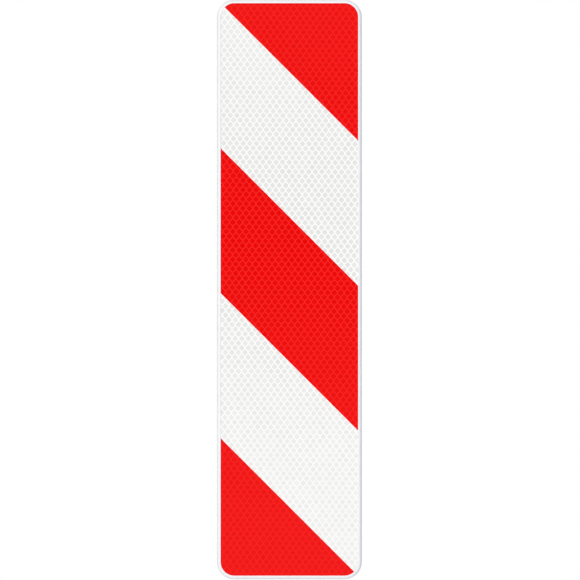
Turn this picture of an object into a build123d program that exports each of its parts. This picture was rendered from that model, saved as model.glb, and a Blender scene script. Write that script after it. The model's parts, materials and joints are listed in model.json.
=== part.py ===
"""Guide beacon panel in an edge frame, with two post fixings on its back, one STEP file per piece.

Sizes are in millimetres. X runs across the panel, Y from its face to its back, and Z up.
The origin lies on the post's axis, at the middle of the lower post clamp.
"""

import math
import os

from build123d import *

# Panel outline
PANEL_WIDTH = 250.0
PANEL_HEIGHT = 1000.0
CORNER_RADIUS = 30.0  # outside of the rim

# Plate and films
PLATE_THICKNESS = 2.0
SHEETING_THICKNESS = 0.4
OVERLAY_THICKNESS = 0.1
PLATE_EDGE_GAP = 0.3  # from the plate's edge to the floor of its slot
FILM_MARGIN = 0.5  # from the plate's edge to the films' edge
STRIPE_HEIGHT = 250.0  # of one stripe, measured up the panel
STRIPE_ANGLE = 45.0  # degrees that the stripes fall towards +X

# Edge frame profile, bent from one length
RIM_WIDTH = 6.5  # what shows from the front
RIM_LAND = 0.3  # flat of the rim's front, between its round nose and its inner edge
LIP_EDGE_ROUNDING = 0.3  # of the rim's inner edge
LIP_THICKNESS = 0.7  # from the rim's front to its seat on the film
SLOT_INSET = 4.7  # from the outside to the floor of the plate's slot
FRAME_DEPTH = 22.0
FRAME_WALL = 2.0
FILM_GAP = 0.1  # from the red film to the front lip
WEB_REACH = 9.0  # web behind the plate, from the outside
WEB_THICKNESS = 1.5
REAR_LIP_REACH = 11.0  # rear lip, from the outside
REAR_LIP_THICKNESS = 2.0
FRAME_EDGE_ROUNDING = 0.5
FRAME_JOINT_GAP = 0.2  # where the profile's two ends meet
DRAIN_HOLE_DIAMETER = 5.0
DRAIN_HOLE_INSET = 20.0  # from where the corner starts

# Joint plate and its blind rivets
JOINT_PLATE_LENGTH = 80.0
JOINT_PLATE_THICKNESS = 3.0
JOINT_PLATE_GAP = 0.1  # from the joint plate to the rounding beside the frame's wall
JOINT_PLATE_ROUNDING = 2.0
RIVET_PITCH = 18.0
RIVET_DIAMETER = 3.2
RIVET_HEAD_OVERHANG = 1.6  # past the shank
RIVET_HEAD_HEIGHT = 1.2
RIVET_TAIL_BULGE = 0.7  # past the shank
RIVET_TAIL_LENGTH = 2.4
RIVET_HOLE_CLEARANCE = 0.05  # radial

# Where the two fixings sit, from the panel's top and bottom edges
FIXING_INSET = 200.0

# Cross rail, open to the back
RAIL_WIDTH = 40.0
RAIL_DEPTH = 18.0
RAIL_WALL = 2.5
RAIL_SLOT = 14.0
RAIL_INSET = 6.0  # from the panel's side to the rail's end
RAIL_CORNER_RADIUS = 1.5
RAIL_INNER_RADIUS = 1.0
RAIL_LIP_ROUNDING = 0.6

# Rail end caps
CAP_THICKNESS = 2.5
CAP_TONGUE_LENGTH = 8.0
CAP_TONGUE_WALL = 2.0
CAP_CLEARANCE = 0.25
CAP_EDGE_ROUNDING = 0.8

# Claws that grip the frame's rear lip
CLAW_LENGTH = 36.0  # along the frame
CLAW_TAIL = 11.0  # from the screw to the heel's end
CLAW_TOE_THICKNESS = 5.0
CLAW_HEEL_WIDTH = 4.0
CLAW_GAP = 0.4  # to the rounding beside the frame's wall, and to the lip's edge
CLAW_PINCH = 0.6  # from the claw's body to the rail, so that toe and heel carry
CLAW_CORNER_RADIUS = 1.2
CLAW_SCREW_SETBACK = 1.0  # from the end cap's tongue to the screw's washer

# Fasteners, thread M8
THREAD_DIAMETER = 8.0
THREAD_CLEARANCE = 0.06  # radial, between a thread and its nut or tapped hole
BOLT_HOLE_CLEARANCE = 0.5  # radial
WASHER_DIAMETER = 16.0
WASHER_CLEARANCE = 0.2  # radial
WASHER_THICKNESS = 1.6
NUT_ACROSS_FLATS = 13.0
NUT_HEIGHT = 6.5
NUT_CHAMFER = 30.0  # degrees
THREAD_CHAMFER = 0.8
CAP_SCREW_LENGTH = 12.0
CAP_SCREW_HEAD_DIAMETER = 13.0
CAP_SCREW_HEAD_HEIGHT = 8.0
CAP_SCREW_SOCKET = 6.0  # across flats
CAP_SCREW_SOCKET_DEPTH = 4.0
CAP_SCREW_ROUNDING = 0.8
HAMMER_HEAD_THICKNESS = 5.0
HAMMER_HEAD_CLEARANCE = 3.0  # from the head's ends to the rail's walls
HAMMER_NECK_CLEARANCE = 0.5  # from the neck to the rail's slot
HAMMER_HEAD_ROUNDING = 1.0
BOLT_PROTRUSION = 9.0  # of the thread past the tightened nut

# Post clamp
POST_DIAMETER = 60.3
CLAMP_CLEARANCE = 0.1  # radial, from the post to the clamp's wall
CLAMP_WIDTH = 40.0  # along the post
SADDLE_FLOOR = 6.0  # from the post's wall to the rail
SADDLE_FLANGE_THICKNESS = 5.0
SADDLE_WALL = 4.0
SADDLE_WRAP = 55.0  # degrees that the saddle reaches round the post, each way
SADDLE_ROUNDING = 1.5
STRAP_THICKNESS = 4.0
STRAP_BEND_RADIUS = 4.0  # inside of the bend from the arc to the ear
STRAP_EAR_OFFSET = 3.0  # from the post's middle to the ears
EAR_CORNER_RADIUS = 7.0
EAR_MARGIN = 1.5  # from the washer to the bend, and to the ear's end

NOSE_RADIUS = RIM_WIDTH - RIM_LAND - LIP_EDGE_ROUNDING  # of the rim's outer front edge
BOLT_HOLE_DIAMETER = THREAD_DIAMETER + 2 * BOLT_HOLE_CLEARANCE
WASHER_BORE = THREAD_DIAMETER + 2 * WASHER_CLEARANCE

# Places along Y, from the post towards the panel's face
BORE_RADIUS = POST_DIAMETER / 2 + CLAMP_CLEARANCE
RAIL_BACK = -(BORE_RADIUS + SADDLE_FLOOR)
RAIL_FRONT = RAIL_BACK - RAIL_DEPTH
FRAME_BACK = RAIL_FRONT
FRAME_FRONT = FRAME_BACK - FRAME_DEPTH
OVERLAY_FRONT = FRAME_FRONT + LIP_THICKNESS + FILM_GAP
SHEETING_FRONT = OVERLAY_FRONT + OVERLAY_THICKNESS
PLATE_FRONT = SHEETING_FRONT + SHEETING_THICKNESS
WEB_FRONT = PLATE_FRONT + PLATE_THICKNESS
WEB_BACK = WEB_FRONT + WEB_THICKNESS
REAR_LIP_FRONT = FRAME_BACK - REAR_LIP_THICKNESS

# Places along Z
PANEL_BOTTOM = -FIXING_INSET
PANEL_MIDDLE = PANEL_BOTTOM + PANEL_HEIGHT / 2
UPPER_FIXING = PANEL_HEIGHT - 2 * FIXING_INSET

# Places along X
RAIL_END = PANEL_WIDTH / 2 - RAIL_INSET
CLAW_SCREW_X = RAIL_END - CAP_TONGUE_LENGTH - CLAW_SCREW_SETBACK - WASHER_DIAMETER / 2
CLAW_REACH = PANEL_WIDTH / 2 - CLAW_SCREW_X + CLAW_TAIL

# Strap bend, from which the bolts take their place
BEND_DISTANCE = BORE_RADIUS + STRAP_THICKNESS + STRAP_BEND_RADIUS
BEND_Y = STRAP_EAR_OFFSET + STRAP_THICKNESS + STRAP_BEND_RADIUS
BEND_ANGLE = math.acos(BEND_Y / BEND_DISTANCE)
BEND_X = BEND_DISTANCE * math.sin(BEND_ANGLE)
EAR_BACK = STRAP_EAR_OFFSET + STRAP_THICKNESS
BOLT_X = BEND_X + EAR_MARGIN + WASHER_DIAMETER / 2
EAR_END = BOLT_X + WASHER_DIAMETER / 2 + EAR_MARGIN
NUT_FRONT = EAR_BACK + WASHER_THICKNESS
BOLT_END = NUT_FRONT + NUT_HEIGHT + BOLT_PROTRUSION

SIDES = {"left": -1, "right": 1}


def outline_face(corners):
    """A closed outline from its corners, each given as two places and a rounding."""
    points = [(first, second) for first, second, _ in corners]
    return make_face(FilletPolyline(*points, radius=[rounding for *_, rounding in corners], close=True))


def panel_outline(inset):
    """The panel's rounded rectangle, taken in from its outside by inset on every side."""
    return RectangleRounded(PANEL_WIDTH - 2 * inset, PANEL_HEIGHT - 2 * inset, CORNER_RADIUS - inset)


def sheet(outline, front, thickness):
    """An outline drawn about the panel's middle, as a flat sheet whose face is at Y = front."""
    return Pos(0, front + thickness, PANEL_MIDDLE) * Rot(X=90) * extrude(outline, thickness)


def along_y(shape, x, y):
    """A turned shape, drawn about the Z axis, laid with that axis along +Y from the point (x, y)."""
    return Pos(x, y, 0) * Rot(X=-90) * shape


def bolt_holes(x, y, wall):
    """Cutters for a bolt on each side, through a wall that has a face at Y = y."""
    hole = Cylinder(BOLT_HOLE_DIAMETER / 2, 4 * wall)
    return [along_y(hole, side * x, y) for side in SIDES.values()]


def stripe(upper, lower):
    """A falling stripe between two heights on the panel's middle line, wider than the panel."""
    reach = PANEL_WIDTH
    fall = reach * math.tan(math.radians(STRIPE_ANGLE))
    corners = [(-reach, upper + fall), (reach, upper - fall), (reach, lower - fall), (-reach, lower + fall)]
    return make_face(Polyline(*corners, close=True))


def panel_plate():
    return sheet(panel_outline(SLOT_INSET + PLATE_EDGE_GAP), PLATE_FRONT, PLATE_THICKNESS)


def film_outline():
    return panel_outline(SLOT_INSET + PLATE_EDGE_GAP + FILM_MARGIN)


def white_sheeting():
    return sheet(film_outline(), SHEETING_FRONT, SHEETING_THICKNESS)


def red_stripe(upper, lower):
    return sheet(film_outline() & stripe(upper, lower), OVERLAY_FRONT, OVERLAY_THICKNESS)


def edge_frame():
    """The profile swept round the panel from one side of the joint to the other."""
    start = FRAME_JOINT_GAP / 2
    side, bottom, top = PANEL_WIDTH / 2, -PANEL_HEIGHT / 2, PANEL_HEIGHT / 2
    corners = [(start, bottom), (side, bottom), (side, top), (-side, top), (-side, bottom), (-start, bottom)]
    route = Pos(0, FRAME_FRONT, PANEL_MIDDLE) * Rot(X=90) * FilletPolyline(*corners, radius=CORNER_RADIUS)
    rounding = FRAME_EDGE_ROUNDING
    # Each corner of the profile: its Y place, its distance from the outside, and its rounding
    profile = [
        (FRAME_FRONT, 0, NOSE_RADIUS),
        (FRAME_FRONT, RIM_WIDTH, LIP_EDGE_ROUNDING),
        (FRAME_FRONT + LIP_THICKNESS, RIM_WIDTH, 0),
        (FRAME_FRONT + LIP_THICKNESS, SLOT_INSET, 0),
        (WEB_FRONT, SLOT_INSET, 0),
        (WEB_FRONT, WEB_REACH, 0),
        (WEB_BACK, WEB_REACH, rounding),
        (WEB_BACK, FRAME_WALL, rounding),
        (REAR_LIP_FRONT, FRAME_WALL, rounding),
        (REAR_LIP_FRONT, REAR_LIP_REACH, rounding),
        (FRAME_BACK, REAR_LIP_REACH, rounding),
        (FRAME_BACK, 0, rounding),
    ]
    section = Plane.YZ * outline_face(profile)
    frame = sweep(Pos(start, 0, PANEL_BOTTOM) * section, path=route)
    groove_middle = (WEB_BACK + REAR_LIP_FRONT) / 2
    drain = Cylinder(DRAIN_HOLE_DIAMETER / 2, 4 * FRAME_WALL)
    drain_x = PANEL_WIDTH / 2 - CORNER_RADIUS - DRAIN_HOLE_INSET
    for side in SIDES.values():
        frame -= Pos(side * drain_x, groove_middle, PANEL_BOTTOM) * drain
    for x in rivet_places():
        frame -= rivet_hole(x)
    return frame


def rivet_places():
    """X of each rivet, two on each side of the frame's joint."""
    return [side * RIVET_PITCH * step for side in SIDES.values() for step in (0.5, 1.5)]


def rivet_height():
    """Z of the rivets, in the middle of the rear lip's free width."""
    return PANEL_BOTTOM + (FRAME_WALL + REAR_LIP_REACH) / 2


def rivet_hole(x):
    """A cutter through the rear lip and the joint plate."""
    length = 2 * (REAR_LIP_THICKNESS + JOINT_PLATE_THICKNESS)
    hole = Cylinder(RIVET_DIAMETER / 2 + RIVET_HOLE_CLEARANCE, length)
    return Pos(Z=rivet_height()) * along_y(hole, x, REAR_LIP_FRONT)


def frame_joint_plate():
    """A flat bar on the rear lip's inside, across the joint."""
    low = PANEL_BOTTOM + FRAME_WALL + FRAME_EDGE_ROUNDING + JOINT_PLATE_GAP
    high = PANEL_BOTTOM + REAR_LIP_REACH
    bar = RectangleRounded(JOINT_PLATE_LENGTH, high - low, JOINT_PLATE_ROUNDING)
    plate = Pos(0, REAR_LIP_FRONT, (low + high) / 2) * Rot(X=90) * extrude(bar, JOINT_PLATE_THICKNESS)
    for x in rivet_places():
        plate -= rivet_hole(x)
    return plate


def frame_joint_rivets():
    """Blind rivets with a domed head on the frame's back and a set tail inside the groove."""
    grip = REAR_LIP_THICKNESS + JOINT_PLATE_THICKNESS
    shank = RIVET_DIAMETER / 2
    head, tail = shank + RIVET_HEAD_OVERHANG, shank + RIVET_TAIL_BULGE
    outline = [
        Line((0, -RIVET_TAIL_LENGTH), (shank, -RIVET_TAIL_LENGTH)),
        ThreePointArc((shank, -RIVET_TAIL_LENGTH), (tail, -RIVET_TAIL_LENGTH / 2), (shank, 0)),
        Line((shank, 0), (shank, grip)),
        Line((shank, grip), (head, grip)),
        TangentArc((0, grip + RIVET_HEAD_HEIGHT), (head, grip), tangent=(1, 0)),
        Line((0, grip + RIVET_HEAD_HEIGHT), (0, -RIVET_TAIL_LENGTH)),
    ]
    rivet = revolve(Plane.XZ * make_face(outline), Axis.Z)
    start = REAR_LIP_FRONT - JOINT_PLATE_THICKNESS
    return [Pos(Z=rivet_height()) * along_y(rivet, x, start) for x in rivet_places()]


def rail():
    """A channel with lips, its slot open to the back, drilled for the claw screws."""
    half, inner, slot = RAIL_WIDTH / 2, RAIL_WIDTH / 2 - RAIL_WALL, RAIL_SLOT / 2
    floor, lip = RAIL_FRONT + RAIL_WALL, RAIL_BACK - RAIL_WALL
    lower_half = [
        (RAIL_FRONT, -half, RAIL_CORNER_RADIUS),
        (RAIL_BACK, -half, RAIL_CORNER_RADIUS),
        (RAIL_BACK, -slot, RAIL_LIP_ROUNDING),
        (lip, -slot, RAIL_LIP_ROUNDING),
        (lip, -inner, RAIL_INNER_RADIUS),
        (floor, -inner, RAIL_INNER_RADIUS),
    ]
    upper_half = [(y, -z, r) for y, z, r in reversed(lower_half)]
    channel = extrude(Plane.YZ * outline_face(lower_half + upper_half), RAIL_END, both=True)
    return channel - bolt_holes(CLAW_SCREW_X, RAIL_FRONT, RAIL_WALL)


def rail_end_caps():
    """Moulded caps over the rail's ends, each with a hollow tongue in the channel."""
    middle = (RAIL_FRONT + RAIL_BACK) / 2
    cover = extrude(Plane.YZ * RectangleRounded(RAIL_DEPTH, RAIL_WIDTH, RAIL_CORNER_RADIUS), CAP_THICKNESS)
    cover = fillet(cover.faces().sort_by(Axis.X)[-1].edges(), CAP_EDGE_ROUNDING)
    depth = RAIL_DEPTH - 2 * RAIL_WALL - 2 * CAP_CLEARANCE
    width = RAIL_WIDTH - 2 * RAIL_WALL - 2 * CAP_CLEARANCE
    ring = RectangleRounded(depth, width, RAIL_INNER_RADIUS)
    ring -= Rectangle(depth - 2 * CAP_TONGUE_WALL, width - 2 * CAP_TONGUE_WALL)
    tongue = extrude(Plane.YZ * ring, -CAP_TONGUE_LENGTH)
    right = Pos(RAIL_END, middle, 0) * (cover + tongue)
    return [mirror(right, Plane.YZ), right]


def claw(side):
    """A clamping block: its toe grips the rear lip from inside, its heel bears on the rail."""
    toe_front = REAR_LIP_FRONT - CLAW_TOE_THICKNESS
    toe_end = FRAME_WALL + FRAME_EDGE_ROUNDING + CLAW_GAP
    body_start = REAR_LIP_REACH + CLAW_GAP
    body_back = RAIL_FRONT - CLAW_PINCH
    round_edge, tight = CLAW_CORNER_RADIUS, CLAW_PINCH / 2
    # Each corner: distance from the panel's side, Y place and rounding
    outline = [
        (toe_end, toe_front, round_edge),
        (CLAW_REACH, toe_front, round_edge),
        (CLAW_REACH, RAIL_FRONT, tight),
        (CLAW_REACH - CLAW_HEEL_WIDTH, RAIL_FRONT, tight),
        (CLAW_REACH - CLAW_HEEL_WIDTH, body_back, 0),
        (body_start, body_back, tight),
        (body_start, REAR_LIP_FRONT, 0),
        (toe_end, REAR_LIP_FRONT, tight),
    ]
    section = outline_face([(PANEL_WIDTH / 2 - inboard, y, r) for inboard, y, r in outline])
    block = extrude(section, CLAW_LENGTH / 2, both=True)
    tapped = Cylinder(THREAD_DIAMETER / 2 + THREAD_CLEARANCE, 2 * FRAME_DEPTH)
    block -= along_y(tapped, CLAW_SCREW_X, toe_front)
    return block if side > 0 else mirror(block, Plane.YZ)


def washer():
    """A plain washer about the Z axis, on Z = 0."""
    ring = Circle(WASHER_DIAMETER / 2) - Circle(WASHER_BORE / 2)
    return extrude(ring, WASHER_THICKNESS)


def claw_washers():
    return [along_y(washer(), side * CLAW_SCREW_X, RAIL_FRONT + RAIL_WALL) for side in SIDES.values()]


def threaded_shank(length):
    """A round shank from Z = 0 upwards, with a chamfered end."""
    shank = extrude(Circle(THREAD_DIAMETER / 2), length)
    return chamfer(shank.faces().sort_by(Axis.Z)[-1].edges(), THREAD_CHAMFER)


def claw_screws():
    """Socket head screws from the rail's channel into the claws."""
    head = extrude(Circle(CAP_SCREW_HEAD_DIAMETER / 2), CAP_SCREW_HEAD_HEIGHT)
    head = fillet(head.faces().sort_by(Axis.Z)[-1].edges(), CAP_SCREW_ROUNDING)
    socket = RegularPolygon(CAP_SCREW_SOCKET / 2, 6, major_radius=False)
    head -= Pos(Z=CAP_SCREW_HEAD_HEIGHT) * extrude(socket, -CAP_SCREW_SOCKET_DEPTH)
    screw = head + Rot(X=180) * threaded_shank(CAP_SCREW_LENGTH)
    seat = RAIL_FRONT + RAIL_WALL + WASHER_THICKNESS
    return [along_y(screw, side * CLAW_SCREW_X, seat) for side in SIDES.values()]


def saddle():
    """The extruded front half of the post clamp: a cradle on two webs, with bolted flanges."""
    web = BORE_RADIUS * math.sin(math.radians(SADDLE_WRAP)) + SADDLE_WALL
    horn_top = -BORE_RADIUS * math.cos(math.radians(SADDLE_WRAP))
    flange_back = RAIL_BACK + SADDLE_FLANGE_THICKNESS
    outline = [
        (-EAR_END, RAIL_BACK, SADDLE_ROUNDING),
        (EAR_END, RAIL_BACK, SADDLE_ROUNDING),
        (EAR_END, flange_back, SADDLE_ROUNDING),
        (web, flange_back, SADDLE_ROUNDING),
        (web, horn_top, SADDLE_ROUNDING),
        (-web, horn_top, SADDLE_ROUNDING),
        (-web, flange_back, SADDLE_ROUNDING),
        (-EAR_END, flange_back, SADDLE_ROUNDING),
    ]
    section = outline_face(outline) - Circle(BORE_RADIUS)
    section -= saddle_chambers(web - SADDLE_WALL, flange_back)
    body = extrude(section, CLAMP_WIDTH / 2, both=True)
    return body - bolt_holes(BOLT_X, RAIL_BACK, SADDLE_FLANGE_THICKNESS)


def saddle_chambers(half_width, floor):
    """The two hollows between the cradle, the webs and the flange's plane."""
    block = Pos(0, floor / 2) * Rectangle(2 * half_width, -floor)
    hollows = block - Circle(BORE_RADIUS + SADDLE_WALL)
    return fillet(hollows.vertices(), SADDLE_ROUNDING / 2)


def hammer_head_bolts():
    """Bolts whose heads slide in the rail, with a flat neck in its slot."""
    head_length = RAIL_WIDTH - 2 * RAIL_WALL - 2 * HAMMER_HEAD_CLEARANCE
    neck_width = RAIL_SLOT - 2 * HAMMER_NECK_CLEARANCE
    head_seat = RAIL_BACK - RAIL_WALL
    head = extrude(Rectangle(neck_width, head_length), -HAMMER_HEAD_THICKNESS)
    head = fillet(head.edges().filter_by(Axis.Z), HAMMER_HEAD_ROUNDING)
    neck = extrude(Rectangle(THREAD_DIAMETER, neck_width), RAIL_WALL)
    bolt = head + neck + threaded_shank(BOLT_END - head_seat)
    return [along_y(bolt, side * BOLT_X, head_seat) for side in SIDES.values()]


def strap():
    """The bent back half of the post clamp: an arc round the post with a drilled ear on each side."""
    inner, outer = BORE_RADIUS, BORE_RADIUS + STRAP_THICKNESS
    bend = (BEND_X, BEND_Y)
    tight, wide = STRAP_BEND_RADIUS, STRAP_BEND_RADIUS + STRAP_THICKNESS
    # The bend turns from the side facing the post to straight down
    bend_start = math.degrees(math.atan2(-BEND_Y, -BEND_X))
    bend_turn = -90 - bend_start
    half = [
        CenterArc((0, 0), inner, 90, -math.degrees(BEND_ANGLE)),
        CenterArc(bend, wide, bend_start, bend_turn),
        Line((BEND_X, STRAP_EAR_OFFSET), (EAR_END, STRAP_EAR_OFFSET)),
        Line((EAR_END, STRAP_EAR_OFFSET), (EAR_END, EAR_BACK)),
        Line((EAR_END, EAR_BACK), (BEND_X, EAR_BACK)),
        CenterArc(bend, tight, bend_start, bend_turn),
        CenterArc((0, 0), outer, 90, -math.degrees(BEND_ANGLE)),
        Line((0, outer), (0, inner)),
    ]
    right = make_face(half)
    band = extrude(right + mirror(right, Plane.YZ), CLAMP_WIDTH / 2, both=True)
    ends = [e for e in band.edges().filter_by(Axis.Y) if abs(abs(e.center().X) - EAR_END) < 1e-6]
    band = fillet(ends, EAR_CORNER_RADIUS)
    return band - bolt_holes(BOLT_X, EAR_BACK, STRAP_THICKNESS)


def strap_washers():
    return [along_y(washer(), side * BOLT_X, EAR_BACK) for side in SIDES.values()]


def nut(side):
    """A hexagon nut with both faces chamfered."""
    flat = NUT_ACROSS_FLATS / 2
    corner = flat / math.cos(math.pi / 6)
    drop = (corner - flat) * math.tan(math.radians(NUT_CHAMFER))
    hexagon = extrude(RegularPolygon(flat, 6, major_radius=False), NUT_HEIGHT)
    front = [(0, 0), (flat, 0), (corner, drop)]
    back = [(x, NUT_HEIGHT - z) for x, z in reversed(front)]
    turned = revolve(Plane.XZ * make_face(Polyline(*front, *back, close=True)), Axis.Z)
    body = hexagon & turned
    body -= Cylinder(THREAD_DIAMETER / 2 + THREAD_CLEARANCE, 4 * NUT_HEIGHT)
    return along_y(body, side * BOLT_X, NUT_FRONT)


def panel_pieces():
    reach = PANEL_HEIGHT
    return {
        "panel_plate": panel_plate(),
        "white_sheeting": white_sheeting(),
        "red_stripe_top": red_stripe(reach, 1.5 * STRIPE_HEIGHT),
        "red_stripe_middle": red_stripe(0.5 * STRIPE_HEIGHT, -0.5 * STRIPE_HEIGHT),
        "red_stripe_bottom": red_stripe(-1.5 * STRIPE_HEIGHT, -reach),
        "edge_frame": edge_frame(),
        "frame_joint_plate": frame_joint_plate(),
        "frame_joint_rivets": frame_joint_rivets(),
    }


def fixing_pieces():
    """One fixing, at the height of the lower one."""
    pieces = {
        "rail": rail(),
        "rail_end_caps": rail_end_caps(),
        "claw_screws": claw_screws(),
        "claw_washers": claw_washers(),
        "saddle": saddle(),
        "bolts": hammer_head_bolts(),
        "strap": strap(),
        "strap_washers": strap_washers(),
    }
    for name, side in SIDES.items():
        pieces[f"claw_{name}"] = claw(side)
        pieces[f"nut_{name}"] = nut(side)
    return pieces


def write(name, shape, height=0.0):
    """One STEP file for a piece, or for a group of like pieces, raised by height."""
    group = shape if isinstance(shape, list) else [shape]
    placed = [Pos(Z=height) * solid for piece in group for solid in piece.solids()]
    export_step(Compound(placed) if len(placed) > 1 else placed[0], f"parts/{name}.step")


def main():
    os.makedirs("parts", exist_ok=True)
    for name, shape in panel_pieces().items():
        write(name, shape)
    for name, shape in fixing_pieces().items():
        write(f"lower_{name}", shape)
        write(f"upper_{name}", shape, UPPER_FIXING)


main()
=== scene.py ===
# %% [markdown]
# # A guide beacon
# A guide beacon is the tall striped panel that leads drivers past road works or a hazard beside the road.
# Its solids are already made at their real size, and they arrive as a fixed frame of named nodes, each on
# the body that it moves with. They could be shown as they are, but plain solids look like grey blocks.
# This lesson dresses them: it lights the panel as a studio photographer would, cuts the reflective film
# cell by cell, cuts the threads of the fasteners and gives each metal and plastic its own finish. Blender
# works in metres here, so a size in millimetres is multiplied by MM.

# %% The frame and the tools
import json
import math
import random

import bmesh
import bpy
from mathutils import Matrix, Vector, geometry


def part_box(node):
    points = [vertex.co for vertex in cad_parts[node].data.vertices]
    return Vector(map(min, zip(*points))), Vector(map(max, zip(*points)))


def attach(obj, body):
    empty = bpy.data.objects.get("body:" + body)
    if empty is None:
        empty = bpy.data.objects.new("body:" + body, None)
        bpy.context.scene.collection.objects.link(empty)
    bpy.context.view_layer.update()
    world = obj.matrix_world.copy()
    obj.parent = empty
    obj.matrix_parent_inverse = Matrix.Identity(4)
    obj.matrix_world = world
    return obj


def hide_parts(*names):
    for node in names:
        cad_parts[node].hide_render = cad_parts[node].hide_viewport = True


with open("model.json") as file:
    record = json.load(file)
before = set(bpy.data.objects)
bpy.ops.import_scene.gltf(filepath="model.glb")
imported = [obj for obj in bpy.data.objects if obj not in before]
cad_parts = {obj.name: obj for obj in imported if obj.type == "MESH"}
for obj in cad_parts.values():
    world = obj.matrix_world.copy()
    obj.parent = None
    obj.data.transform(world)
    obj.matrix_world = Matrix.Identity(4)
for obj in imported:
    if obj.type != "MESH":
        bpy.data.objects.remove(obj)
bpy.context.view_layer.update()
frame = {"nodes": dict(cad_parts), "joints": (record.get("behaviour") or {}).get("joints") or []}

MM = 0.001
nodes = frame["nodes"]

# %% [markdown]
# ## Colours and nodes
# A shader works with linear light, but colour charts and photographs give sRGB, so one function turns a
# hex value into the linear colour that a socket wants. A second function adds one node, sets its
# properties and fills its inputs, either with plain values or with the outputs of other nodes. Nodes can
# be drawn by hand in the editor too, but written down like this a whole material fits on a page and comes
# out the same each time.

# %% Colours and nodes
def linear(hex_colour):
    """The linear colour of an sRGB hex value such as #F2F3F4."""
    channels = [int(hex_colour[start:start + 2], 16) / 255 for start in (1, 3, 5)]
    return [c / 12.92 if c <= 0.04045 else ((c + 0.055) / 1.055) ** 2.4 for c in channels] + [1.0]


def add_node(tree, kind, inputs=None, **settings):
    """Adds one node, sets its properties, and gives each input a value or another node's output."""
    node = tree.nodes.new(kind)
    for name, value in settings.items():
        setattr(node, name, value)
    for name, value in (inputs or {}).items():
        if isinstance(value, bpy.types.NodeSocket):
            tree.links.new(value, node.inputs[name])
        else:
            node.inputs[name].default_value = value
    return node


print("a light grey, linear:", linear("#F2F3F4"))

# %% [markdown]
# ## The camera
# The photograph looks square at the face, and the panel fills its height. An orthographic camera would
# show that too, but a real one has perspective, so this one is a long lens five and a half metres away:
# it keeps the sides upright and hides the depth of the frame. The real panel is one metre tall, so one
# pixel of the photograph spans about 1.72 mm, and that sets how much the lens takes in.

# %% Camera
PHOTO_SIDE = 580
PIXEL = 1.724 * MM
PANEL_MIDDLE_PIXEL = (289.4, 289.45)
CAMERA_DISTANCE = 5.55

frame_low, frame_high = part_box("edge_frame")
panel_middle = (frame_low + frame_high) / 2
camera = bpy.data.objects.new("camera", bpy.data.cameras.new("camera"))
bpy.context.scene.collection.objects.link(camera)
camera.data.lens = camera.data.sensor_width * CAMERA_DISTANCE / (PHOTO_SIDE * PIXEL)
aside, below = [(PHOTO_SIDE / 2 - pixel) * PIXEL for pixel in PANEL_MIDDLE_PIXEL]
camera.location = (aside, frame_low.y - CAMERA_DISTANCE, panel_middle.z - below)
camera.rotation_euler = (math.pi / 2, 0, 0)
bpy.context.scene.camera = camera
bpy.context.scene.view_settings.view_transform = "Standard"
print(f"lens {camera.data.lens:.0f} mm at {tuple(camera.location)}")

# %% [markdown]
# ## The studio
# Product photographs of signs are taken in a white room with one large soft lamp, and dark cards beside a
# white object keep its edges from melting into the background. The world is that room. A panorama picture
# could stand for it, but a few nodes do the same, because Light Path tells three kinds of ray apart. The
# camera sees pure white. Matt surfaces receive a slightly blue light that is strong from the front and
# the back and weak from the sides, where the cards stand, so the rim darkens as it turns away. Polished
# surfaces mirror a room that is white behind the panel and dim towards the camera, where a real studio is
# dark: a white room in front of the red film would wash it out to pink.

# %% World
ROOM_TINT = "#F2F6FF"
PANEL_LIGHT = 1.39
CARD_LIGHT = 0.15
CARD_EDGE = 0.3
MIRROR_DIM = 0.1
MIRROR_BLEND = 0.4

world = bpy.data.worlds.new("white_room")
bpy.context.scene.world = world
world.use_nodes = True
room = world.node_tree
room.nodes.clear()
ray = add_node(room, "ShaderNodeLightPath").outputs
direction = add_node(room, "ShaderNodeTexCoord").outputs["Generated"]
backwards = add_node(room, "ShaderNodeSeparateXYZ", {"Vector": direction}).outputs["Y"]
either_way = add_node(room, "ShaderNodeMath", {0: backwards}, operation="ABSOLUTE").outputs[0]
lighting = add_node(room, "ShaderNodeMapRange", {
    "Value": either_way, "From Min": CARD_EDGE, "To Min": CARD_LIGHT, "To Max": PANEL_LIGHT,
}, interpolation_type="SMOOTHSTEP").outputs["Result"]
mirrored = add_node(room, "ShaderNodeMapRange", {
    "Value": backwards, "From Min": -MIRROR_BLEND, "From Max": MIRROR_BLEND, "To Min": MIRROR_DIM,
}).outputs["Result"]
soft = add_node(room, "ShaderNodeBackground", {"Color": linear(ROOM_TINT), "Strength": lighting})
mirror = add_node(room, "ShaderNodeBackground", {"Color": linear(ROOM_TINT), "Strength": mirrored})
seen = add_node(room, "ShaderNodeBackground", {"Color": linear("#FFFFFF"), "Strength": 1.0})
sharp = add_node(room, "ShaderNodeMath", {
    0: ray["Is Glossy Ray"], 1: ray["Is Transmission Ray"],
}, operation="MAXIMUM").outputs[0]
unseen = add_node(room, "ShaderNodeMixShader", {0: sharp, 1: soft.outputs[0], 2: mirror.outputs[0]})
whole = add_node(room, "ShaderNodeMixShader", {
    0: ray["Is Camera Ray"], 1: unseen.outputs[0], 2: seen.outputs[0],
})
add_node(room, "ShaderNodeOutputWorld", {"Surface": whole.outputs[0]})
print("room light", PANEL_LIGHT, "from the front and back and", CARD_LIGHT, "from the sides")

# %% [markdown]
# ## The lamps
# The rim of the panel is light on its upper left and shaded on its lower right, so the lamp stands to the
# upper left of the camera. It is a little warm, which balances the blue of the room on the face and
# leaves the shaded side of the rim cool, as in the photograph. An area lamp would do, but its light falls
# off along a tall panel, and a Sun lamp with a wide angle is as soft and stays even. A second one lights
# the back, for whoever walks round the panel. Each lamp's level is what it adds to an upright white face,
# and with the room's light that comes to about 1, so a colour shows about as it is written.

# %% Lamps
LAMP_TINT = "#FFF8EC"


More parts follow.
